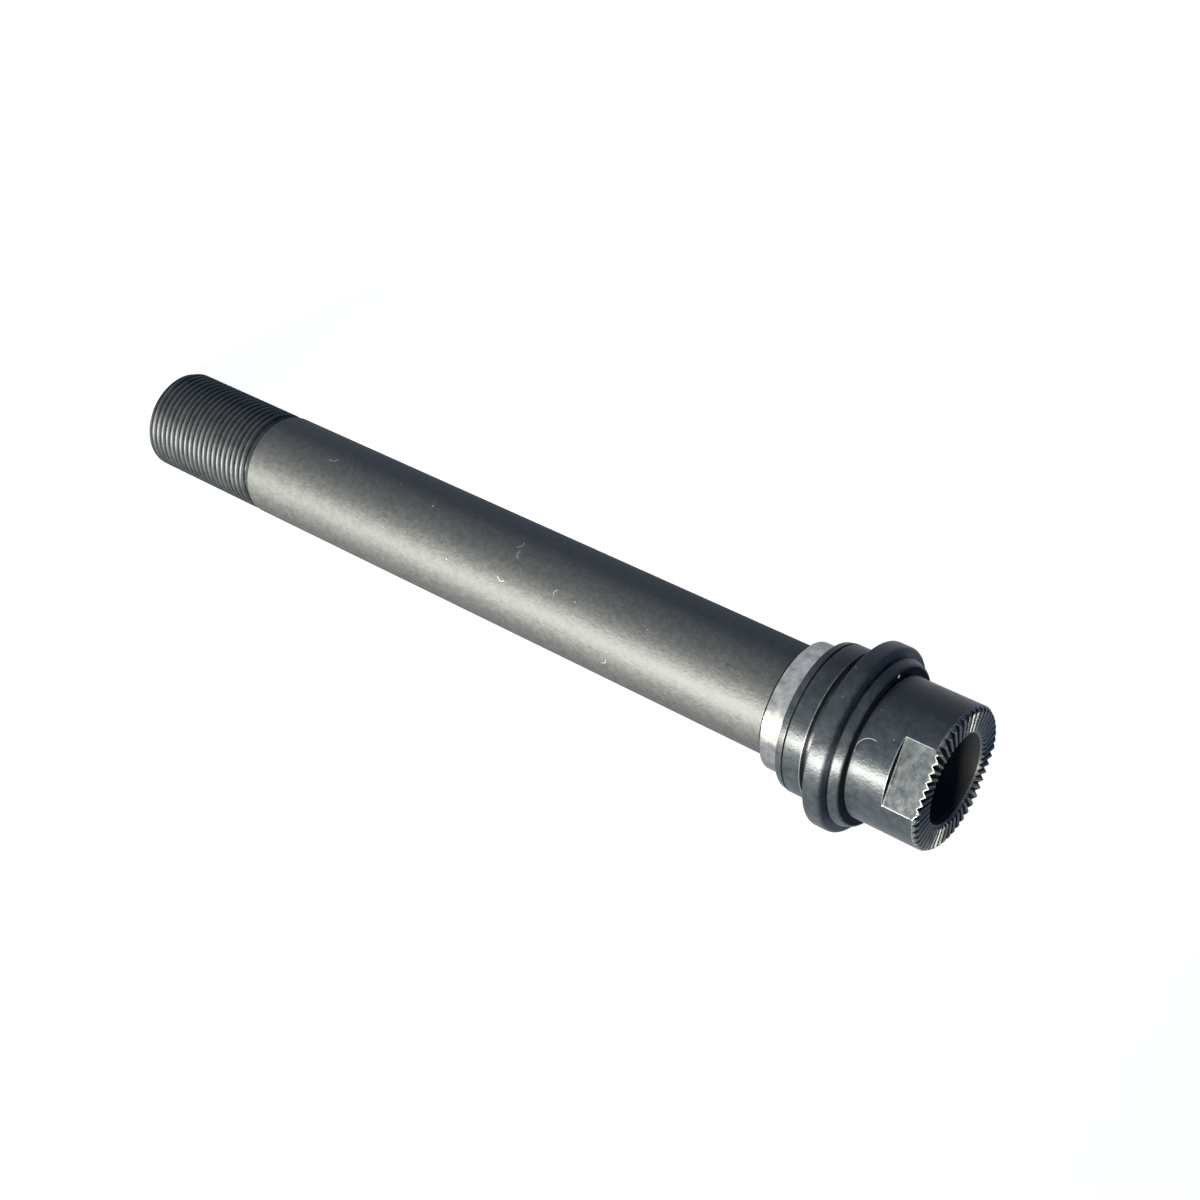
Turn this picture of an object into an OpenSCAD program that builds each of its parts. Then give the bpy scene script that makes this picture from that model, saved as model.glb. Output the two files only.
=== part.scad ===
// Hollow hub axle: a turned steel tube with an outside thread at the low end and
// a head at the top that carries a ring of V teeth, two wrench flats and a labyrinth seal.
// Millimetres, +Z runs up the axle from the threaded end to the tooth tips.

/* [Overall] */
// Length from the threaded end to the tooth tips
overall_length = 136.4; // [125:0.1:160]
// Diameter of the bore that runs right through
bore_diameter = 12; // [10:0.1:12.6]
// Outside diameter of the plain tube
tube_diameter = 15; // [14.4:0.1:16]

/* [Head] */
// Diameter of the head
head_diameter = 19; // [18:0.1:20]
// Length of the head, from the tooth tips to the undercut
head_length = 9.95; // [8:0.05:12]
// Distance across the two wrench flats
across_flats = 16.8; // [16:0.1:18]
// Length of the wrench flats, from the tooth tips
flat_length = 4.85; // [3:0.05:7]

/* [End teeth] */
// Number of V teeth round the end face
tooth_count = 50; // [44:1:60]
// Included angle of the groove between two teeth, in degrees
groove_angle = 84; // [70:1:100]
// Share of the tooth pitch that stays flat at the tip
tip_share = 0.06; // [0.04:0.01:0.2]
// Turn of the teeth against the middle of the front flat, in degrees
tooth_turn = 1.3; // [0:0.1:7]

/* [Seal and bearing] */
// Diameter of the flange, the widest part
flange_diameter = 24.8; // [23.5:0.1:27]
// Thickness of the flange
flange_thickness = 2.4; // [2:0.1:3]
// Diameter of the small ridge between the head and the flange
ridge_diameter = 22.4; // [21.6:0.1:23]
// Diameter of the band behind the flange
band_diameter = 20.2; // [19.6:0.1:21]
// Length of the band
band_length = 3.7; // [3:0.1:5]
// Diameter of the ground bearing seat
seat_diameter = 17.4; // [16.8:0.1:18]
// Length of the ground bearing seat
seat_length = 3.4; // [2.6:0.1:5]

/* [Thread] */
// Diameter over the crests of the thread
thread_diameter = 14.9; // [14.3:0.05:15]
// Length of the thread with its relief groove
thread_length = 21.9; // [15:0.1:30]
// Diameter of the relief groove behind the thread
relief_diameter = 13.7; // [13.4:0.1:14.2]

/* [Hidden] */
$fn = 96;

// Radii
bore_r = bore_diameter / 2;
tube_r = tube_diameter / 2;
head_r = head_diameter / 2;
flange_r = flange_diameter / 2;
ridge_r = ridge_diameter / 2;
band_r = band_diameter / 2;
seat_r = seat_diameter / 2;
thread_r = thread_diameter / 2;
relief_r = relief_diameter / 2;

// Edges: the rim has a bevel in two steps, the bore mouth and the other corners one each
rim_bevel = 0.55;
rim_blend = 0.15;
rim_blend_length = 0.35;
mouth_bevel = 0.5;
corner_bevel = 0.15;
tip_bevel = 0.45;
flange_round = 0.45;
round_steps = 4;

// Grooves of the labyrinth, as widths along the axle and floor radii
undercut_width = 0.25;
undercut_r = head_r - 0.3;
ridge_width = 1.2;
ridge_fall = 0.45;
ridge_gap = 0.4;
ridge_gap_r = ridge_r - 0.9;
slot_width = 1.85;
slot_r = band_r - 1.1;
scribe_width = 0.3;
scribe_depth = 0.25;
lip_length = 0.95;
lip_fall = 0.2;
relief_width = 1.1;
relief_ramp = 0.5;

// Places along the axle, as distances below the tooth tips
ridge_start = head_length + undercut_width;
ridge_end = ridge_start + ridge_width;
flange_start = ridge_end + ridge_gap;
flange_end = flange_start + flange_thickness;
band_start = flange_end + slot_width;
band_end = band_start + band_length;
scribe_start = band_end - lip_length - scribe_width;
seat_end = band_end + seat_length;
thread_start = overall_length - thread_length;

// Grooves between the teeth: each floor runs out from the axis at the height of the
// tips and falls evenly, so grooves and tips both widen with the radius
groove_slope = (1 - tip_share) * PI / tooth_count / tan(groove_angle / 2);
groove_tilt = atan(groove_slope);
cutter_height = 2 * groove_slope * head_r;
cutter_start = bore_r - 1;
cutter_end = head_r + 1;
overshoot = 1;

// Quarter of a circle round [r, depth], from one direction in degrees to another
function quarter(r, depth, size, from, to) =
    [for (i = [0:round_steps])
        let (angle = from + (to - from) * i / round_steps)
        [r + size * cos(angle), depth + size * sin(angle)]];

// The outline is a list of [radius, distance below the tooth tips], from the top down
function head_outline() = [
    [0, 0],
    [head_r - rim_blend - rim_bevel, 0],
    [head_r - rim_blend, rim_bevel],
    [head_r, rim_bevel + rim_blend_length],
    [head_r, head_length],
    [undercut_r, head_length],
    [undercut_r, ridge_start]];

function ridge_outline() = [
    [ridge_r - ridge_fall - corner_bevel, ridge_start],
    [ridge_r - ridge_fall, ridge_start + corner_bevel],
    [ridge_r, ridge_end - corner_bevel],
    [ridge_r - corner_bevel, ridge_end],
    [ridge_gap_r, ridge_end],
    [ridge_gap_r, flange_start]];

function flange_outline() = concat(
    quarter(flange_r - flange_round, flange_start + flange_round, flange_round, -90, 0),
    quarter(flange_r - flange_round, flange_end - flange_round, flange_round, 0, 90),
    [[slot_r, flange_end], [slot_r, band_start]]);

function band_outline() = [
    [band_r - corner_bevel, band_start],
    [band_r, band_start + corner_bevel],
    [band_r, scribe_start],
    [band_r - scribe_depth, scribe_start + scribe_width / 2],
    [band_r, scribe_start + scribe_width],
    [band_r - lip_fall, band_end - corner_bevel],
    [band_r - lip_fall - corner_bevel, band_end]];

function seat_outline() = [
    [seat_r, band_end],
    [seat_r, seat_end - 2 * corner_bevel],
    [seat_r - 2 * corner_bevel, seat_end]];

function tube_outline() = [
    [tube_r, seat_end],
    [tube_r, thread_start - corner_bevel],
    [tube_r - corner_bevel, thread_start],
    [relief_r, thread_start],
    [relief_r, thread_start + relief_width]];

function thread_outline() = [
    [thread_r, thread_start + relief_width + relief_ramp],
    [thread_r, overall_length - tip_bevel],
    [thread_r - tip_bevel, overall_length],
    [0, overall_length]];

// The whole outline turned about the axis, before any cut
module turned_blank() {
    outline = concat(head_outline(), ridge_outline(), flange_outline(), band_outline(),
                     seat_outline(), tube_outline(), thread_outline());
    rotate_extrude()
        polygon([for (point = outline) [point[0], overall_length - point[1]]]);
}

// The through bore with a bevel at each mouth
module through_bore() {
    translate([0, 0, -overshoot])
        cylinder(r = bore_r, h = overall_length + 2 * overshoot);
    translate([0, 0, overall_length - mouth_bevel])
        cylinder(r1 = bore_r, r2 = bore_r + mouth_bevel + overshoot, h = mouth_bevel + overshoot);
    translate([0, 0, -overshoot])
        cylinder(r1 = bore_r + mouth_bevel / 2 + overshoot, r2 = bore_r, h = mouth_bevel / 2 + overshoot);
}

// Two flats milled into the head from opposite sides
module wrench_flats() {
    for (side = [-1, 1])
        translate([-head_r, side * (across_flats + head_diameter) / 2 - head_r, overall_length - flat_length])
            cube([head_diameter, head_diameter, flat_length + overshoot]);
}

// One V cutter that lies along +X and dips outwards
module groove_cutter() {
    half_width = cutter_height * tan(groove_angle / 2);
    rotate([0, groove_tilt, 0])
        translate([cutter_start, 0, 0])
            rotate([90, 0, 90])
                linear_extrude(cutter_end - cutter_start)
                    polygon([[0, 0], [half_width, cutter_height], [-half_width, cutter_height]]);
}

// All the grooves between the end teeth
module tooth_grooves() {
    pitch = 360 / tooth_count;
    for (i = [0:tooth_count - 1])
        translate([0, 0, overall_length])
            rotate([0, 0, -90 + tooth_turn + (i + 0.5) * pitch])
                groove_cutter();
}

module axle() {
    color("dimgray")
        difference() {
            turned_blank();
            through_bore();
            wrench_flats();
            tooth_grooves();
        }
}

axle();
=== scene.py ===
import math
import bpy
import numpy as np
from mathutils import Matrix, Vector


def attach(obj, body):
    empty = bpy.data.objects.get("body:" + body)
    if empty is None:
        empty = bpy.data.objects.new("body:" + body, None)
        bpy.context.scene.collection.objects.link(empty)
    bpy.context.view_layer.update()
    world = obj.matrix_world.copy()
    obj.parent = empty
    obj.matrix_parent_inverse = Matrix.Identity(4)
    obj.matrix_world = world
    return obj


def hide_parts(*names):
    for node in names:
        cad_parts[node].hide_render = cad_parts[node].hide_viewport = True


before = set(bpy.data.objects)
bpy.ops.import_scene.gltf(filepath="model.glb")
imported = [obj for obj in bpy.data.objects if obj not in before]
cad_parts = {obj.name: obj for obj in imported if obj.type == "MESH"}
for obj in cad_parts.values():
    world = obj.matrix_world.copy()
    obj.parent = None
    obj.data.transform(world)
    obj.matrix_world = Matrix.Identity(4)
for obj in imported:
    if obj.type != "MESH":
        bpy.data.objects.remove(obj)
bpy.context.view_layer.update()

mm = 0.001

# Hub axle in turned steel, drawn as five closed rings set end to end. Sizes are in millimetres,
# and depths count down from the tooth tips
overall = {
    "top": 136.4, "boreRadius": 6.0, "tubeRadius": 7.5,
    "joinRound": 0.02,  # rounding of the corners where two rings meet
    "cornerPoints": 5,  # points on each rounded corner
    "sharpAngle": 32,  # degrees between two faces from which their edge is drawn sharp
}


def hexToLinear(code):
    # sRGB hex to linear: below 0.04045 divide by 12.92, above it ((c + 0.055) / 1.055) to the power 2.4
    values = np.array([int(code[i:i + 2], 16) for i in (1, 3, 5)]) / 255
    linear = np.where(values <= 0.04045, values / 12.92, ((values + 0.055) / 1.055) ** 2.4)
    return tuple(float(v) for v in linear) + (1.0,)


def addNode(tree, kind, settings=None, inputs=None):
    # settings are the node's own fields; an input is a value, or a socket to link from
    node = tree.nodes.new(kind)
    for field, value in (settings or {}).items():
        setattr(node, field, value)
    for socket, value in (inputs or {}).items():
        if isinstance(value, bpy.types.NodeSocket):
            tree.links.new(value, node.inputs[socket])
        else:
            node.inputs[socket].default_value = value
    return node


# What all the finishes share: how each noise is drawn, and from where to where on a noise
# one tone, roughness or depth of wear passes into the other
pattern = {
    "toolMarks": {"Detail": 3.0, "Roughness": 0.6},
    "patches": {"Detail": 5.0, "Roughness": 0.65},
    "grain": {"Detail": 2.0, "Roughness": 0.6},
    "toneFrom": 0.35, "toneTo": 0.65, "roughFrom": 0.3, "roughTo": 0.7,
    "wearFrom": 0.35, "wearTo": 0.6, "leastWear": 0.35,
    "markCore": 0.4,  # share of a mark's width that is fully bright, for handling marks and the painted glint alike
    "arcCosine": 0.5,  # an arc runs to 60 degrees on each side of its turn
    "highlightTurn": 0.25,  # a quarter turn: marks that run round draw the highlight out along the axle
}


def markAndGlintMask(tree, place, marksAndGlints):
    # A mark is an arc of a ring on the surface, or a dot where its size is 0: 1 where the distance to the
    # ring is under the core's share of its width, falling to 0 at the width, and only near its turn. Most
    # marks are handling marks; one is a painted glint
    mask = None
    for azimuth, height, radius, size, width, turn in marksAndGlints:
        around, lean = math.radians(azimuth), math.radians(turn)
        centre = Vector((radius * math.cos(around), radius * math.sin(around), height)) * mm
        side = Vector((-math.sin(around) * math.sin(lean), math.cos(around) * math.sin(lean),
                       math.cos(lean)))
        offset = addNode(tree, "ShaderNodeVectorMath", {"operation": "SUBTRACT"},
                         {0: place, 1: centre}).outputs[0]
        distance = addNode(tree, "ShaderNodeVectorMath", {"operation": "LENGTH"},
                           {0: offset}).outputs["Value"]
        away = addNode(tree, "ShaderNodeMath", {"operation": "SUBTRACT"},
                       {0: distance, 1: size * mm}).outputs[0]
        away = addNode(tree, "ShaderNodeMath", {"operation": "ABSOLUTE"}, {0: away}).outputs[0]
        line = addNode(tree, "ShaderNodeMapRange", {},
                       {"Value": away, "From Min": pattern["markCore"] * width * mm, "From Max": width * mm,
                        "To Min": 1.0, "To Max": 0.0}).outputs[0]
        along = addNode(tree, "ShaderNodeVectorMath", {"operation": "DOT_PRODUCT"},
                        {0: offset, 1: side}).outputs["Value"]
        shown = addNode(tree, "ShaderNodeMath", {"operation": "GREATER_THAN"},
                        {0: along, 1: (pattern["arcCosine"] * size if size else -width) * mm}).outputs[0]
        mark = addNode(tree, "ShaderNodeMath", {"operation": "MULTIPLY"}, {0: line, 1: shown}).outputs[0]
        if mask is None:
            mask = mark
        else:
            mask = addNode(tree, "ShaderNodeMath", {"operation": "MAXIMUM"}, {0: mask, 1: mark}).outputs[0]
    return mask


def steelFinish(name, look):
    # One turned, milled or ground steel surface. The tool marks are 1D noise along
    # height plus radius, so they run round walls and end faces alike
    material = bpy.data.materials.new(name)
    material.use_nodes = True
    tree = material.node_tree
    shader = tree.nodes["Principled BSDF"]
    place = addNode(tree, "ShaderNodeTexCoord").outputs["Object"]
    axes = addNode(tree, "ShaderNodeSeparateXYZ", inputs={"Vector": place})
    flatPlace = addNode(tree, "ShaderNodeCombineXYZ",
                        inputs={"X": axes.outputs["X"], "Y": axes.outputs["Y"]})
    radius = addNode(tree, "ShaderNodeVectorMath", {"operation": "LENGTH"}, {0: flatPlace.outputs[0]})
    along = addNode(tree, "ShaderNodeMath", {"operation": "ADD"},
                    {0: axes.outputs["Z"], 1: radius.outputs["Value"]}).outputs[0]
    toolMarks = addNode(tree, "ShaderNodeTexNoise", {"noise_dimensions": "1D"},
                        {"W": along, "Scale": 1 / (look["markSpacing"] * mm), **pattern["toolMarks"]})
    patches = addNode(tree, "ShaderNodeTexNoise", {},
                      {"Vector": place, "Scale": 1 / (look["patchSize"] * mm), **pattern["patches"]})
    grain = addNode(tree, "ShaderNodeTexNoise", {},
                    {"Vector": place, "Scale": 1 / (look["grainSize"] * mm), **pattern["grain"]})
    # Two tones in patches, rubbed to bare steel where the mesh is worn, and the handling marks and painted
    # glint over them
    blend = addNode(tree, "ShaderNodeMapRange", {},
                    {"Value": patches.outputs["Fac"], "From Min": pattern["toneFrom"],
                     "From Max": pattern["toneTo"]})
    tone = addNode(tree, "ShaderNodeMix", {"data_type": "RGBA"},
                   {"Factor": blend.outputs[0], "A": hexToLinear(look["dark"]),
                    "B": hexToLinear(look["light"])})
    worn = addNode(tree, "ShaderNodeAttribute", {"attribute_name": "wear"}).outputs["Fac"]
    broken = addNode(tree, "ShaderNodeMapRange", {},
                     {"Value": grain.outputs["Fac"], "From Min": pattern["wearFrom"],
                      "From Max": pattern["wearTo"], "To Min": pattern["leastWear"], "To Max": 1.0})
    rubbed = addNode(tree, "ShaderNodeMath", {"operation": "MULTIPLY", "use_clamp": True},
                     {0: worn, 1: broken.outputs[0]}).outputs[0]
    surface = addNode(tree, "ShaderNodeMix", {"data_type": "RGBA"},
                      {"Factor": rubbed, "A": tone.outputs["Result"], "B": hexToLinear(look["bare"])})
    if "marksAndGlints" in look:
        mask = markAndGlintMask(tree, place, look["marksAndGlints"])
        surface = addNode(tree, "ShaderNodeMix", {"data_type": "RGBA"},
                          {"Factor": mask, "A": surface.outputs["Result"],
                           "B": hexToLinear(look["scratchAndGlint"])})
    tree.links.new(surface.outputs["Result"], shader.inputs["Base Color"])
    rough = addNode(tree, "ShaderNodeMapRange", {},
                    {"Value": patches.outputs["Fac"], "From Min": pattern["roughFrom"],
                     "From Max": pattern["roughTo"], "To Min": look["roughness"] - look["roughSpread"],
                     "To Max": look["roughness"] + look["roughSpread"]})
    tree.links.new(rough.outputs[0], shader.inputs["Roughness"])
    lines = addNode(tree, "ShaderNodeBump", {},
                    {"Height": toolMarks.outputs["Fac"], "Strength": 1.0,
                     "Distance": look["markDepth"] * mm})
    pits = addNode(tree, "ShaderNodeBump", {},
                   {"Height": grain.outputs["Fac"], "Strength": 1.0, "Distance": look["grainDepth"] * mm,
                    "Normal": lines.outputs[0]})
    tree.links.new(pits.outputs[0], shader.inputs["Normal"])
    shader.inputs["Metallic"].default_value = look["metallic"]
    shader.inputs["Anisotropic"].default_value = look["anisotropy"]
    shader.inputs["Anisotropic Rotation"].default_value = pattern["highlightTurn"]
    shader.inputs["Specular Tint"].default_value = hexToLinear(look["rim"])
    return material


# In every finish the spacing, sizes and depths are in millimetres. Real tool marks are finer, mostly
# under 0.1 mm apart, and are drawn coarser so that they show. A handling mark or a painted glint is given by
# the azimuth, height and radius of its place, the size and width of its arc, and its turn from upright

# Turned steel under black oxide: near black, with a tight highlight that the fine
# turning marks draw out along the axle and a faint grain makes cloudy
blackOxideTurned = steelFinish("BlackOxideTurnedSteel", {
    "dark": "#1d272f", "light": "#2e363e", "bare": "#98a2ac", "rim": "#e6e6e6", "scratchAndGlint": "#838c93",
    "metallic": 0.6, "roughness": 0.46, "roughSpread": 0.05, "anisotropy": 0.9,
    "markSpacing": 0.15, "markDepth": 0.003, "patchSize": 1.2, "grainSize": 0.35, "grainDepth": 0.025,
    "marksAndGlints": [(-95.6, 128.2, 9.5, 1.74, 0.055, -136), (-139.8, 122.6, 12.4, 0, 0.12, 0),
              (-120, 123.4, 12.4, 0, 0.07, 0), (-150, 118.5, 10.1, 0, 0.07, 0),
              (-112, 130.5, 9.5, 0, 0.07, 0), (-128, 127.2, 9.5, 0, 0.06, 0)],
})
# The same oxide on a plain drawn tube: greyer and softer
blackOxideTube = steelFinish("BlackOxideDrawnTube", {
    "dark": "#40474b", "light": "#4b5257", "bare": "#98a2ac", "rim": "#c4c4c4", "scratchAndGlint": "#8d9599",
    "metallic": 0.85, "roughness": 0.68, "roughSpread": 0.035, "anisotropy": 0.6,
    "markSpacing": 0.3, "markDepth": 0.003, "patchSize": 0.9, "grainSize": 0.4, "grainDepth": 0.04,
    "marksAndGlints": [(-138.4, 34.9, 7.5, 0.8, 0.07, 60), (-134.7, 38.7, 7.5, 0, 0.1, 0),
              (-133.7, 54.3, 7.5, 0, 0.2, 0), (-142.2, 47.3, 7.5, 0, 0.11, 0),
              (-136.3, 69.6, 7.5, 0.7, 0.06, 20), (-124.8, 71.1, 7.5, 0.6, 0.06, 160),
              (-96.9, 70.0, 7.5, 0.7, 0.06, 100), (-104.1, 79.0, 7.5, 0.5, 0.06, 200),
              (-104.5, 82.0, 7.5, 0, 0.1, 0), (-88, 60.5, 7.5, 0, 0.1, 0),
              (-110, 93.5, 7.5, 0, 0.1, 0), (-60, 88.0, 7.5, 0.6, 0.06, 45),
              (60, 75.0, 7.5, 0.7, 0.06, 80), (140, 48.0, 7.5, 0, 0.1, 0),
              (95, 98.0, 7.5, 0.5, 0.06, -30)],
})
# Bearing seat ground after the oxide: bright steel with fine lines round it
groundSteel = steelFinish("GroundBearingSteel", {
    "dark": "#7b8083", "light": "#a8acaf", "bare": "#c0c4c8", "rim": "#c0c0c0",
    "metallic": 1.0, "roughness": 0.29, "roughSpread": 0.05, "anisotropy": 0.85,
    "markSpacing": 0.25, "markDepth": 0.0015, "patchSize": 1.4, "grainSize": 0.3, "grainDepth": 0.003,
})
# Flats milled through the oxide: mottled grey
milledSteel = steelFinish("MilledSteelFlat", {
    "dark": "#2d353b", "light": "#434b51", "bare": "#b9c1c8", "rim": "#a0a0a0",
    "metallic": 0.95, "roughness": 0.23, "roughSpread": 0.03, "anisotropy": 0.0,
    "markSpacing": 0.2, "markDepth": 0.0004, "patchSize": 1.2, "grainSize": 0.2, "grainDepth": 0.002,
})
# Reamed bore, left dark: dull, with no clear highlight
reamedBore = steelFinish("ReamedDarkBore", {
    "dark": "#1b272d", "light": "#1e1d1f", "bare": "#747c82", "rim": "#303030",
    "metallic": 0.2, "roughness": 0.6, "roughSpread": 0.05, "anisotropy": 0.5,
    "markSpacing": 0.4, "markDepth": 0.001, "patchSize": 4, "grainSize": 0.3, "grainDepth": 0.002,
})
# Teeth pressed and oxidised, rubbed paler on the tips: smooth flanks that flash in one direction
toothSteel = steelFinish("BlackOxideToothSteel", {
    "dark": "#5c5f59", "light": "#6f726c", "bare": "#a0aab3", "rim": "#9a9a9a",
    "metallic": 0.85, "roughness": 0.24, "roughSpread": 0.02, "anisotropy": 0.0,
    "markSpacing": 0.15, "markDepth": 0.0, "patchSize": 0.8, "grainSize": 0.15, "grainDepth": 0.0,
})
# Rolled thread under the same oxide: rounded crests that catch the light
threadSteel = steelFinish("BlackOxideThreadSteel", {
    "dark": "#283036", "light": "#343b40", "bare": "#8e979e", "rim": "#a8a8a8",
    "metallic": 0.85, "roughness": 0.52, "roughSpread": 0.05, "anisotropy": 0.2,
    "markSpacing": 0.3, "markDepth": 0.0006, "patchSize": 2, "grainSize": 0.3, "grainDepth": 0.006,
})
# Painted shade: a near black copy of the oxide, put on groove floors, recesses, corners and thread roots
# where shade falls
paintedGrooveShade = steelFinish("PaintedGrooveShade", {
    "dark": "#0f1418", "light": "#161c21", "bare": "#56595b", "rim": "#404040", "scratchAndGlint": "#ffffff",
    "metallic": 0.6, "roughness": 0.6, "roughSpread": 0.05, "anisotropy": 0.0,
    "markSpacing": 0.12, "markDepth": 0.0006, "patchSize": 3, "grainSize": 0.25, "grainDepth": 0.0015,
    # Its one mark is a painted white glint on the ridge's front wall
    "marksAndGlints": [(-160.8, 126.2, 10.0, 0, 0.3, 0)],
})
finishes = [blackOxideTurned, blackOxideTube, groundSteel, milledSteel,
            reamedBore, toothSteel, threadSteel, paintedGrooveShade]
# Their places in that list, as the faces of a ring name them
# The last of these places is the near black finish painted where shade falls
turned, drawn, ground, milled, reamed, pressed, rolled, paintedShade = range(len(finishes))
print("finishes made")


def closedRing(name, angles, radius, depth, slots, wear):
    # Rows are angles and columns run round the section, both closed on themselves:
    # x = radius * cos(angle), y = radius * sin(angle), z = top - depth
    around, across = radius.shape
    points = np.stack([radius * np.cos(angles)[:, None], radius * np.sin(angles)[:, None],
                       overall["top"] - depth], axis=-1)
    index = np.arange(around * across).reshape(around, across)
    right, down = np.roll(index, -1, axis=0), np.roll(index, -1, axis=1)
    diagonal = np.roll(right, -1, axis=1)
    faces = np.stack([index, down, diagonal, right], axis=-1).reshape(-1, 4)
    mesh = bpy.data.meshes.new(name)
    mesh.vertices.add(around * across)
    mesh.vertices.foreach_set("co", (points * mm).astype(np.float32).ravel())
    mesh.loops.add(faces.size)
    mesh.loops.foreach_set("vertex_index", faces.astype(np.int32).ravel())
    mesh.polygons.add(len(faces))
    mesh.polygons.foreach_set("loop_start", np.arange(0, faces.size, 4, dtype=np.int32))
    mesh.polygons.foreach_set("material_index", slots.astype(np.int32).ravel())
    mesh.polygons.foreach_set("use_smooth", np.ones(len(faces), dtype=bool))
    mesh.update(calc_edges=True)
    mesh.validate()
    mesh.set_sharp_from_angle(angle=math.radians(overall["sharpAngle"]))
    layer = mesh.attributes.new("wear", "FLOAT", "POINT")
    layer.data.foreach_set("value", wear.astype(np.float32).ravel())
    for material in finishes:
        mesh.materials.append(material)
    piece = bpy.data.objects.new(name, mesh)
    bpy.context.scene.collection.objects.link(piece)
    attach(piece, "root")
    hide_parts("axle")


def roundedSection(corners):
    # Each corner (radius, depth, size, wear, finish) becomes a curve that leaves the line to the corner
    # before it at that size, bends towards the corner, and joins the line to the next one:
    # (1 - t)^2 * start + 2 t (1 - t) * corner + t^2 * end. The wear is greatest in its middle: sin(pi * t)
    table = np.array(corners, dtype=float)
    place, size = table[:, :2], table[:, 2:3]
    before, after = np.roll(place, 1, axis=0) - place, np.roll(place, -1, axis=0) - place
    before /= np.linalg.norm(before, axis=1, keepdims=True)
    after /= np.linalg.norm(after, axis=1, keepdims=True)
    share = np.linspace(0, 1, overall["cornerPoints"])
    t = share[None, :, None]
    start, end = (place + before * size)[:, None], (place + after * size)[:, None]
    curve = (1 - t) ** 2 * start + 2 * t * (1 - t) * place[:, None] + t ** 2 * end
    wear = np.sin(np.pi * share)[None, :] * table[:, 3:4]
    slot = np.repeat(table[:, 4:5], overall["cornerPoints"], axis=1)
    return curve[..., 0].ravel(), curve[..., 1].ravel(), wear.ravel(), slot.ravel()


def turnedPiece(name, corners, around):
    # A rounded section turned about the axis: the same radius and depth at every angle
    radius, depth, wear, slot = roundedSection(corners)
    angles = np.linspace(0, 2 * np.pi, around, endpoint=False)
    grid = np.ones((around, 1))
    closedRing(name, angles, grid * radius, grid * depth, grid * slot, grid * wear)


head = {
    "radius": 9.5, "length": 9.95, "end": 10.05, "undercutRadius": 9.2,
    "flatDistance": 8.4, "flatEnd": 4.85, "mouthBevel": 0.5,
    "faceRadius": 8.8, "rimRadius": 9.15, "rimDepth": 0.2, "rimEnd": 0.7,  # the rim's bevel has two steps
    "teeth": 50, "grooveAngle": 84, "tipShare": 0.06, "turn": 1.3,
    "edge": 0.035,  # width of the broken edges
    "tipRound": 0.06, "tipReach": 2.2,  # drop of a tip's edge as a share of the slope, over half tip widths
    "grooveDepth": 0.965,  # share of a groove's full depth that its floor reaches
    "shoulderRound": 0.04, "shoulderEdge": 0.12, "shoulderRun": 0.2,  # edge of the step below a flat
    "footRise": 0.07, "footReach": 0.03, "footGap": 0.01,  # corner between a flat and its step, painted near black as shade
    "rimGap": 0.08, "endRound": 0.03, "endEdge": 0.1,
    # How bare each edge is rubbed, from 0 to 1; widths of wear are in degrees at the tips and the flats'
    # corners, and in millimetres below the teeth on a flat
    "tipWear": 0.22, "tipWearWidth": 0.62, "cornerWear": 0.8, "cornerWearWidth": 0.25,
    "flatEdgeWear": 0.78, "flatEdgeFade": 0.3, "flatEdgeWidth": 0.14, "faceEdgeShare": 0.8,
    "rimEdgeWear": 0.15, "rimBevelWear": 0.25, "rimLineWear": 0.35, "mouthWear": 0.25, "bevelWear": 0.05,
    "innerEdgeWear": 0.15, "shoulderWear": 0.4, "endWear": 0.1,
    "grooveStart": 1.9,  # degrees from a tip's middle at which the flank is painted near black as shade
    # Rows: degrees from a tip's middle, and from a flat's corner, and the least step between two rows
    "toothRows": (0.216, 0.5, 0.95, 1.6, 2.3, 2.95, 3.35), "cornerRows": (-0.9, -0.45, 0, 0.25, 0.6),
    "leastStep": 0.04,
    # Columns: depths in the bore, on the flats and on the side below them, and shares of the way
    # across the face, down a flat's worn edge or the rim's upper bevel, and down the lower bevel
    "boreColumns": (7.5, 4.5, 2.2, 1.0), "flatColumns": (1.3, 2.0, 3.0, 4.0, 4.6),
    "sideColumns": (5.4, 6.5, 8.0, 9.4), "faceColumns": (0.02, 0.1, 0.3, 0.5, 0.7, 0.9, 0.98),
    "rimColumns": (0.25, 0.6, 1.0), "bevelColumns": (0.5, 1.0),
    "faceEdgeStart": 0.9, "faceEdgeRun": 0.08,  # shares of the face over which its outer edge gets worn
    "endStep": 1.5,  # width of the first step across the hidden end, out from the bore
    "leastSine": 0.05, "tolerance": 0.001,  # keep a division finite, and tell a flat from the round side
}


def flatCorner(look):
    # Degrees from the middle of a flat to where it meets the head's side: cos = distance / radius
    return math.degrees(math.acos(look["flatDistance"] / look["radius"]))


def toothFall(angles, look):
    # How far a groove falls for each millimetre of radius. Between the tip's edge and the
    # groove's middle the flank is a plane through the axis: slope * sin(angle from the tip's edge)
    pitch = 2 * np.pi / look["teeth"]
    slope = (1 - look["tipShare"]) * np.pi / look["teeth"] / math.tan(math.radians(look["grooveAngle"] / 2))
    tip = look["tipShare"] * pitch / 2
    middle = math.radians(-90 + look["turn"])
    offset = np.abs((angles - middle + pitch / 2) % pitch - pitch / 2)
    fall = slope * np.sin(np.clip(offset - tip, 0, None)) / math.sin(pitch / 2 - tip)
    rounding = look["tipRound"] * slope * np.clip(1 - np.abs(offset - tip) / (look["tipReach"] * tip), 0, 1)
    return np.minimum(fall + rounding, slope * look["grooveDepth"]), offset


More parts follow.
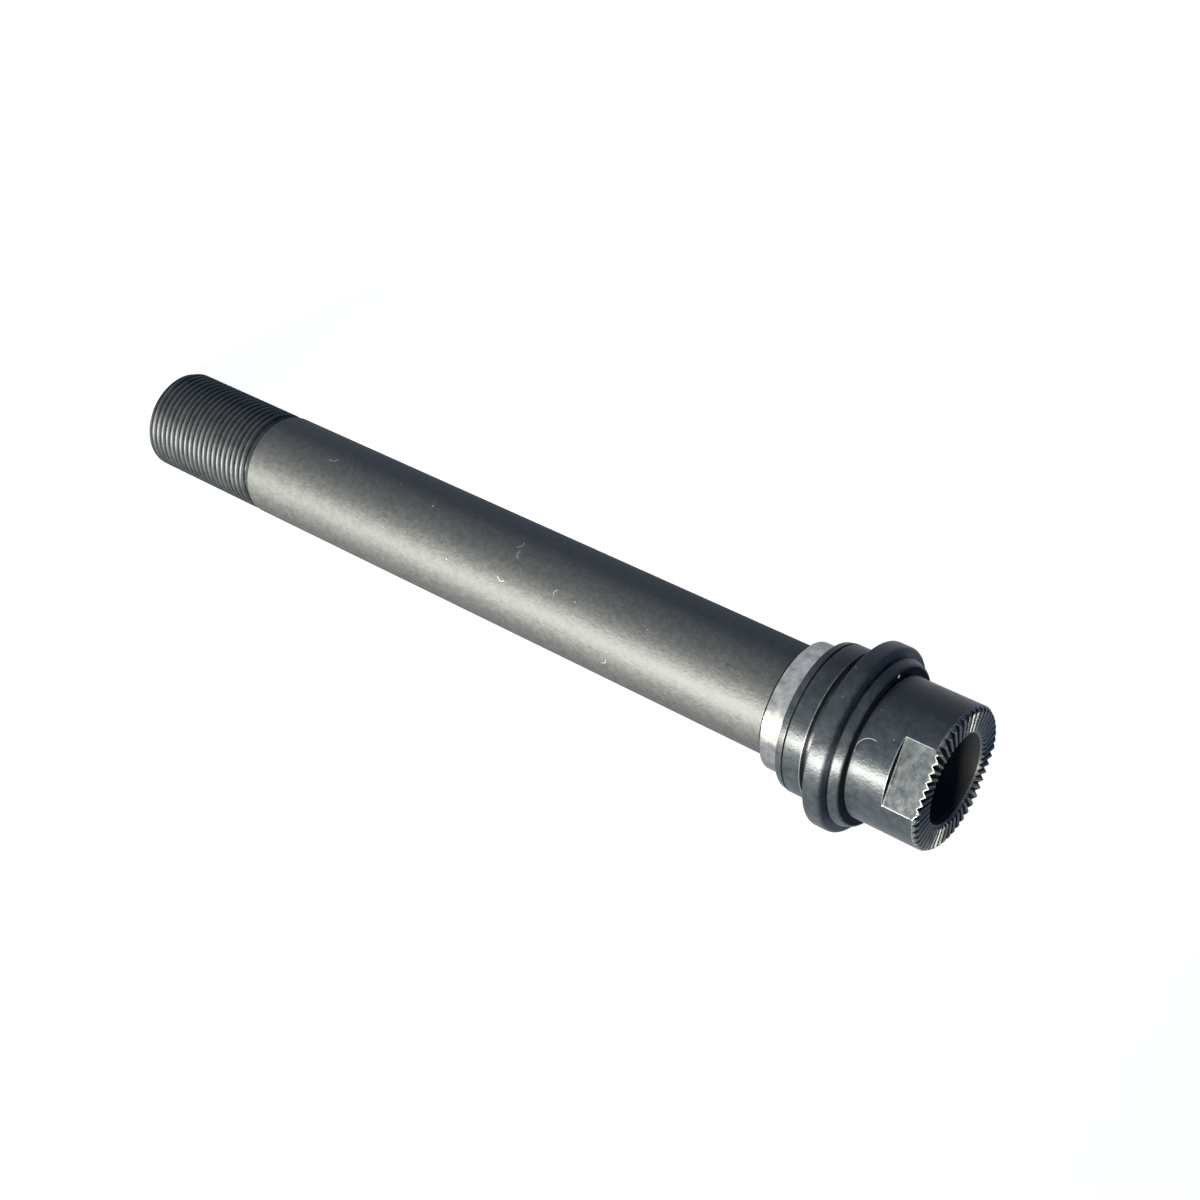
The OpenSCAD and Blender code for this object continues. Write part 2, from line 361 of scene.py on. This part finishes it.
def headAngles(look):
    # The same angles on every tooth, with the corners of the flats added
    pitch = 360 / look["teeth"]
    local = np.array([0, *look["toothRows"]])
    local = np.concatenate([-local[:0:-1], local, [pitch / 2]])
    tips = -90 + look["turn"] + np.arange(look["teeth"])[:, None] * pitch
    corners = np.array([side + turn * (flatCorner(look) + shift) for side in (-90, 90) for turn in (-1, 1)
                        for shift in look["cornerRows"]])
    every = np.sort(np.concatenate([(tips + local).ravel(), corners]) % 360)
    keep = np.concatenate([[True], np.diff(every) > look["leastStep"]])
    return np.radians(every[keep])


def toothedHead(look):
    # Each column is a line round the head, from the bore over the face and down the side. The face lies
    # at depth = fall * radius, the bore's bevel at radius + depth = bore + bevel, and the flats cut the
    # side at radius = distance / |sin(angle)|
    angles = headAngles(look)
    fall, offset = toothFall(angles, look)
    bore, edge, radius, end = overall["boreRadius"], look["edge"], look["radius"], look["end"]
    flat = look["flatDistance"] / np.maximum(np.abs(np.sin(angles)), look["leastSine"])
    onFlat = flat < radius - look["tolerance"]
    inner = (bore + look["mouthBevel"]) / (1 + fall)
    # A groove's floor leaves through the upper or the lower bevel: where fall * r meets the bevel's line
    upperSlope = look["rimDepth"] / (look["rimRadius"] - look["faceRadius"])
    lowerSlope = (look["rimEnd"] - look["rimDepth"]) / (radius - look["rimRadius"])
    throughUpper = upperSlope * look["faceRadius"] / (upperSlope - fall)
    throughLower = (lowerSlope * look["rimRadius"] - look["rimDepth"]) / (lowerSlope - fall)
    outer = np.minimum(np.where(throughUpper <= look["rimRadius"], throughUpper, throughLower), flat)
    rimTop = outer * fall
    edgeWear = np.where(onFlat, look["flatEdgeWear"], look["rimEdgeWear"])
    columns = []

    def column(r, depth, wear, slot):
        columns.append([np.broadcast_to(v, angles.shape) for v in (r, depth, wear, slot)])

    def wall(depth):
        # Radius of the rim bevels and of the head's side at a depth, cut by the flats
        side = np.interp(depth, [0, look["rimDepth"], look["rimEnd"]],
                         [look["faceRadius"], look["rimRadius"], radius])
        return np.minimum(side, flat)

    # Bore wall and the bevel at its mouth
    mouth, reach = look["mouthBevel"], inner - bore
    for depth in (end, *look["boreColumns"], mouth + 2 * edge):
        column(bore, depth, 0, reamed)
    column(bore + 0.3 * edge, mouth + 0.6 * edge, look["mouthWear"], reamed)
    column(bore + edge, mouth - edge, look["mouthWear"], turned)
    column(bore + 0.6 * reach, mouth - 0.6 * reach, look["bevelWear"], turned)
    column(inner - 0.5 * edge, mouth - (reach - 0.5 * edge), look["innerEdgeWear"], pressed)
    # Toothed face, outwards from the bore, with paler tips and groove bottoms painted near black as shade
    tipWear = look["tipWear"] * np.clip(1 - offset / math.radians(look["tipWearWidth"]), 0, 1)
    bottom = (offset + np.roll(offset, -1)) / 2 > math.radians(look["grooveStart"])
    for share in look["faceColumns"]:
        r = inner + share * (outer - inner)
        atRim = np.clip((share - look["faceEdgeStart"]) / look["faceEdgeRun"], 0, 1)
        rubbed = np.maximum(tipWear, look["faceEdgeShare"] * edgeWear * atRim)
        column(r, r * fall, rubbed, np.where(bottom, paintedShade, pressed))
    # Rim bevels, or the flat where it cuts
    column(np.minimum(outer, wall(rimTop + edge)), rimTop + edge, edgeWear, pressed)
    upper = np.where(onFlat, np.minimum(rimTop + look["flatEdgeWidth"], look["rimEnd"] - edge),
                     np.maximum(look["rimDepth"], rimTop + 2 * edge))
    for share in look["rimColumns"]:
        depth = rimTop + edge + share * (upper - rimTop - edge)
        rubbed = np.where(onFlat, look["flatEdgeWear"] * (1 - look["flatEdgeFade"] * share),
                          look["rimBevelWear"] * (1 - share))
        column(wall(depth), depth, rubbed, milled)
    for share in look["bevelColumns"]:
        depth = upper + share * (look["rimEnd"] - upper)
        column(wall(depth), depth, np.where(onFlat, 0, share * look["rimLineWear"]), milled)
    column(np.minimum(radius, flat), look["rimEnd"] + look["rimGap"], 0, milled)
    # Side of the head and the two flats, down to the flats' shoulders
    flatEnd = look["flatEnd"]
    fromMiddle = np.degrees(np.arccos(np.clip(look["flatDistance"] / flat, -1, 1)))
    fromCorner = (fromMiddle - flatCorner(look)) / look["cornerWearWidth"]
    cornerWear = look["cornerWear"] * np.exp(-fromCorner ** 2)
    for depth in (*look["flatColumns"], flatEnd - look["footRise"]):
        column(np.minimum(radius, flat), depth, cornerWear, milled)
    # The corner at a flat's foot is painted near black as shade
    column(np.minimum(radius, flat + look["footReach"]), flatEnd - look["footGap"], 0, paintedShade)
    cut = np.clip((radius - flat) / look["shoulderRun"], 0, 1)
    shoulderWear = look["shoulderWear"] * cut
    column(radius - look["shoulderEdge"] * cut, flatEnd, 0, turned)
    column(radius - look["shoulderRound"] * cut, flatEnd, shoulderWear, turned)
    column(radius, flatEnd + look["shoulderRound"], shoulderWear, turned)
    # Turned side, the undercut behind it and the hidden end, with the end's edge and the undercut floor
    # painted near black as shade
    length = look["length"]
    for depth in (flatEnd + look["shoulderEdge"], *look["sideColumns"], length - look["endEdge"]):
        column(radius, depth, 0, turned)
    column(radius - look["endRound"], length - look["endRound"], look["endWear"], turned)
    column(radius - look["endEdge"], length, 0, paintedShade)
    column(look["undercutRadius"], length, 0, paintedShade)
    column(look["undercutRadius"], end, 0, turned)
    column(bore + look["endStep"], end, 0, turned)

    r, depth, wear, slot = (np.stack([c[i] for c in columns], axis=1) for i in range(4))
    # A wall column belongs to the flat only where the flat cuts; elsewhere it is the turned side
    slot = np.where((slot == milled) & ~onFlat[:, None], turned, slot)
    closedRing("toothedHead", angles, r, depth, slot, wear)


toothedHead(head)
print("toothed head made")


rings = {
    "ridgeStart": 10.2, "ridgeEnd": 11.4, "ridgeRadius": 11.2, "ridgeFall": 0.45, "ridgeRound": 0.24,
    "footRound": 0.03, "gapRadius": 10.3, "gapRound": 0.05,
    "flangeStart": 11.8, "flangeEnd": 14.2, "flangeRadius": 12.385, "flangeRound": 0.55,
    "flangeRearRound": 0.3, "slotRadius": 9.0, "slotRound": 0.1,
    "bandStart": 16.05, "bandEnd": 19.75, "bandRadius": 10.1, "bandRound": 0.12, "bandWear": 0.5,
    "scribeStart": 18.5, "scribeEnd": 18.8, "scribeDepth": 0.25, "scribeFrontRound": 0.04,
    "scribeRound": 0.05, "scribeWear": 0.1, "lipFall": 0.2, "lipRound": 0.15, "lipWear": 0.05,
    "around": 240,
}


def labyrinthRings(look, start, startRadius):
    # Ridge, flange and band. Corners in order: radius, depth below the tooth tips, rounding, wear, finish
    bore, join = overall["boreRadius"], overall["joinRound"]
    ridge, gap, flange = look["ridgeRadius"], look["gapRadius"], look["flangeRadius"]
    slot, slotRound, band = look["slotRadius"], look["slotRound"], look["bandRadius"]
    scribeMiddle = (look["scribeStart"] + look["scribeEnd"]) / 2
    corners = [
        (bore, look["bandEnd"], join, 0, reamed),
        (bore, start, join, 0, turned),
        # The undercut's floor, the ridge's front wall and the gap's floor are painted near black as shade
        (startRadius, start, join, 0, paintedShade),
        (startRadius, look["ridgeStart"], look["footRound"], 0, paintedShade),
        (ridge - look["ridgeFall"], look["ridgeStart"], look["ridgeRound"], 0, turned),
        (ridge, look["ridgeEnd"], look["ridgeRound"], 0, turned),
        (gap, look["ridgeEnd"], look["gapRound"], 0, paintedShade),
        (gap, look["flangeStart"], look["gapRound"], 0, turned),
        (flange, look["flangeStart"], look["flangeRound"], 0, turned),
        (flange, look["flangeEnd"], look["flangeRearRound"], 0, turned),
        (slot, look["flangeEnd"], slotRound, 0, turned),
        (slot, look["bandStart"], slotRound, 0, turned),
        (band, look["bandStart"], look["bandRound"], look["bandWear"], turned),
        (band, look["scribeStart"], look["scribeFrontRound"], 0, turned),
        # The scribe's groove is painted near black as shade
        (band - look["scribeDepth"], scribeMiddle, look["scribeRound"], 0, paintedShade),
        (band, look["scribeEnd"], look["scribeRound"], look["scribeWear"], turned),
        (band - look["lipFall"], look["bandEnd"], look["lipRound"], look["lipWear"], turned),
    ]
    turnedPiece("labyrinthRings", corners, look["around"])


seat = {"radius": 8.7, "end": 23.15, "bevel": 0.3, "bevelRound": 0.04, "frontWear": 0.9, "around": 240}


def bearingSeat(look, start):
    # Corners as in the rings: a plain ground ring whose rear bevel is painted near black as a shadow line
    bore, join, radius, end = overall["boreRadius"], overall["joinRound"], look["radius"], look["end"]
    corners = [
        (bore, end, join, 0, reamed),
        (bore, start, join, 0, ground),
        (radius, start, join, look["frontWear"], ground),
        (radius, end - look["bevel"], look["bevelRound"], 0, paintedShade),
        (radius - look["bevel"], end, look["bevelRound"], 0, turned),
    ]
    turnedPiece("bearingSeat", corners, look["around"])


tube = {"end": 114.5, "spans": (30, 60), "spanRound": 0.5, "endRound": 0.15, "endWear": 0.3, "around": 192}


def plainTube(look, start):
    # Corners as in the rings; the spans are rings of points on the long straight wall
    bore, join = overall["boreRadius"], overall["joinRound"]
    radius, end = overall["tubeRadius"], look["end"]
    corners = [
        (bore, end, join, 0, reamed),
        (bore, start, join, 0, drawn),
        (radius, start, join, 0, drawn),
        *[(radius, start + span, look["spanRound"], 0, drawn) for span in look["spans"]],
        (radius, end, look["endRound"], look["endWear"], drawn),
    ]
    turnedPiece("plainTube", corners, look["around"])


labyrinthRings(rings, head["end"], head["undercutRadius"])
bearingSeat(seat, rings["bandEnd"])
plainTube(tube, seat["end"])
print("rings, seat and tube made")


thread = {
    "crestRadius": 7.45, "rootRadius": 6.86, "pitch": 1.0, "crestBend": 2.2,
    "reliefRadius": 6.85, "reliefWidth": 1.1, "ramp": 0.5, "tipBevel": 0.45, "mouthBevel": 0.25,
    "rootHeight": 0.3,  # share of the thread's depth below which it is painted near black as shade
    "crestStart": 0.9, "crestRise": 10, "crestWear": 0.12, "endWear": 0.3,
    "around": 120, "step": 0.05, "lastGap": 0.02,
    # Steps between the last columns, over the end face and into the bore
    "rimStep": 0.01, "mouthEdge": 0.02, "mouthFall": 0.03, "mouthStep": 0.1, "boreStep": 10,
}


def threadedEnd(look, start):
    # radius(angle, depth) = lowest of the thread's profile, the ramp out of the relief groove and the
    # bevel at the tip. The profile is an arch in each pitch: root + (crest - root) * (1 - u ^ bend), where
    # u is the distance from the crest in half pitches
    bore, total, around = overall["boreRadius"], overall["top"], look["around"]
    relief, crest, reliefEnd = look["reliefRadius"], look["crestRadius"], start + look["reliefWidth"]
    angles = np.linspace(0, 2 * np.pi, around, endpoint=False)
    depth = np.arange(reliefEnd, total - look["lastGap"], look["step"])
    phase = (depth[None, :] / look["pitch"] + angles[:, None] / (2 * np.pi)) % 1
    height = 1 - (1 - np.abs(phase - 0.5) * 2) ** look["crestBend"]
    profile = look["rootRadius"] + (crest - look["rootRadius"]) * height
    ramp = np.interp(depth, [reliefEnd, reliefEnd + look["ramp"]], [relief, crest])
    bevel = crest - np.clip(depth - (total - look["tipBevel"]), 0, None)
    side = np.minimum(np.minimum(profile, ramp[None, :]), bevel[None, :])
    sideWear = np.clip((height - look["crestStart"]) * look["crestRise"], 0, 1) * look["crestWear"]
    # Below the root height the thread is painted near black as shade
    sideFinish = np.where(height < look["rootHeight"], paintedShade, rolled)
    # Columns before and after the thread: radius, depth, wear, finish
    mouth, mouthEdge, endWear = bore + look["mouthBevel"], look["mouthEdge"], look["endWear"]
    mouthDepth = total - look["mouthBevel"]
    before = np.array([(bore, start, 0, rolled), (relief, start, 0, rolled)])
    after = np.array([
        (crest - look["tipBevel"] - look["rimStep"], total, endWear, rolled),
        (mouth + mouthEdge, total, endWear, rolled),
        (mouth - mouthEdge, total - look["mouthFall"], endWear, rolled),
        (bore, mouthDepth, 0, reamed),
        (bore, mouthDepth - look["mouthStep"], 0, reamed),
        (bore, total - look["boreStep"], 0, reamed),
    ])
    grid = np.ones((around, 1))
    radius, depths, wear, slots = (
        np.concatenate([grid * before[:, i], middle, grid * after[:, i]], axis=1)
        for i, middle in enumerate((side, grid * depth, sideWear, sideFinish)))
    closedRing("threadedEnd", angles, radius, depths, slots, wear)


threadedEnd(thread, tube["end"])
print("threaded end made")


# The floor's sizes are in metres
studio = {
    "floorColour": "#5c5d5e", "floorLift": 1.0, "liftColour": "#fafbfc",
    "floorReach": 4, "floorPoints": 97, "floorFlat": 2.6, "wallRun": 0.9, "wallHeight": 1.2,
    "worldColour": "#9cc0ff", "worldLevel": 0.5,
}


def paleFloor(look):
    # Grid of x and y that stays flat near the axle and then rises as a smooth wall:
    # height = wallHeight * (3 s^2 - 2 s^3), with s the share of the run outside the flat circle
    count = look["floorPoints"]
    line = np.linspace(-look["floorReach"], look["floorReach"], count)
    x, y = np.meshgrid(line, line, indexing="ij")
    share = np.clip((np.hypot(x, y) - look["floorFlat"]) / look["wallRun"], 0, 1)
    z = look["wallHeight"] * (3 * share ** 2 - 2 * share ** 3)
    index = np.arange(count * count).reshape(count, count)
    faces = np.stack([index[:-1, :-1], index[1:, :-1], index[1:, 1:], index[:-1, 1:]], axis=-1)
    mesh = bpy.data.meshes.new("paleFloor")
    mesh.from_pydata(np.stack([x, y, z], axis=-1).reshape(-1, 3).tolist(), [], faces.reshape(-1, 4).tolist())
    mesh.materials.append(mattePaleFloor(look))
    floor = bpy.data.objects.new("paleFloor", mesh)
    bpy.context.scene.collection.objects.link(floor)


def mattePaleFloor(look):
    # Matte grey that takes the axle's shadow, lifted to white only for the camera and for mirrors
    material = bpy.data.materials.new("MattePaleFloor")
    material.use_nodes = True
    tree = material.node_tree
    tree.nodes.clear()
    output = addNode(tree, "ShaderNodeOutputMaterial")
    rays = addNode(tree, "ShaderNodeLightPath")
    seen = addNode(tree, "ShaderNodeMath", {"operation": "MAXIMUM"},
                   {0: rays.outputs["Is Camera Ray"], 1: rays.outputs["Is Glossy Ray"]})
    seen = addNode(tree, "ShaderNodeMath", {"operation": "MAXIMUM"},
                   {0: seen.outputs[0], 1: rays.outputs["Is Transmission Ray"]})
    lift = addNode(tree, "ShaderNodeMath", {"operation": "MULTIPLY"},
                   {0: seen.outputs[0], 1: look["floorLift"]})
    matte = addNode(tree, "ShaderNodeBsdfDiffuse", {}, {"Color": hexToLinear(look["floorColour"])})
    glow = addNode(tree, "ShaderNodeEmission", {},
                   {"Color": hexToLinear(look["liftColour"]), "Strength": lift.outputs[0]})
    both = addNode(tree, "ShaderNodeAddShader", {}, {0: matte.outputs[0], 1: glow.outputs[0]})
    tree.links.new(both.outputs[0], output.inputs["Surface"])
    material.cycles.emission_sampling = "NONE"  # the lift is no lamp
    return material


def plainWorld(look):
    # A dim cool sky on every side
    world = bpy.data.worlds.new("PlainStudio")
    bpy.context.scene.world = world
    world.use_nodes = True
    background = world.node_tree.nodes["Background"]
    background.inputs["Color"].default_value = hexToLinear(look["worldColour"])
    background.inputs["Strength"].default_value = look["worldLevel"]


# Azimuth from +X and elevation are in degrees, seen from the point of the axis at the aim's height.
# Distances and sizes are in metres, and the power is in watts
lamps = {
    "keyLamp": {"azimuth": -58.5, "elevation": 0, "aim": 0.1325, "distance": 0.5, "width": 0.115,
                "height": 0.255, "power": 23.0, "colour": "#ffead2"},
    "fillLamp": {"azimuth": -37, "elevation": 0, "aim": 0.1325, "distance": 0.5, "width": 0.14,
                 "height": 0.255, "power": 1.0, "colour": "#ffead2"},
    "toothLamp": {"azimuth": -42, "elevation": 54, "aim": 0.136, "distance": 0.5, "width": 0.14,
                  "height": 0.14, "power": 0.9, "colour": "#fbf2ea"},
}


def softLamp(name, look):
    # A rectangle that faces a point of the axle's axis
    around, up = math.radians(look["azimuth"]), math.radians(look["elevation"])
    back = Vector((math.cos(up) * math.cos(around), math.cos(up) * math.sin(around), math.sin(up)))
    data = bpy.data.lights.new(name, "AREA")
    data.shape, data.size, data.size_y = "RECTANGLE", look["width"], look["height"]
    data.energy, data.color = look["power"], hexToLinear(look["colour"])[:3]
    lamp = bpy.data.objects.new(name, data)
    place = back * look["distance"] + Vector((0, 0, look["aim"]))
    lamp.matrix_world = Matrix.Translation(place) @ back.to_track_quat("Z", "Y").to_matrix().to_4x4()
    lamp.visible_camera = False
    bpy.context.scene.collection.objects.link(lamp)


# Worked out from the photograph: the place, lens and sensor are in millimetres, right and up are the
# directions of the picture's sides, and the clip distances are in metres
cameraView = {
    "place": (-59.968, -220.181, 214.790), "right": (-0.28912, 0.55157, 0.78242),
    "up": (-0.93144, 0.02658, -0.36292), "lens": 59.484, "sensor": 36, "clipStart": 0.01, "clipEnd": 20,
}


def photoCamera(look):
    # The camera looks along minus back, and back is square to right and up
    right = Vector(look["right"]).normalized()
    back = right.cross(Vector(look["up"])).normalized()
    up = back.cross(right)
    turn = Matrix((right, up, back)).transposed().to_4x4()
    data = bpy.data.cameras.new("photoCamera")
    data.lens, data.sensor_width, data.sensor_fit = look["lens"], look["sensor"], "HORIZONTAL"
    data.clip_start, data.clip_end = look["clipStart"], look["clipEnd"]
    camera = bpy.data.objects.new("photoCamera", data)
    camera.matrix_world = Matrix.Translation(Vector(look["place"]) * mm) @ turn
    bpy.context.scene.collection.objects.link(camera)
    bpy.context.scene.camera = camera


paleFloor(studio)
plainWorld(studio)
for name, look in lamps.items():
    softLamp(name, look)
photoCamera(cameraView)
bpy.context.scene.view_settings.view_transform = "Standard"
print("studio made")
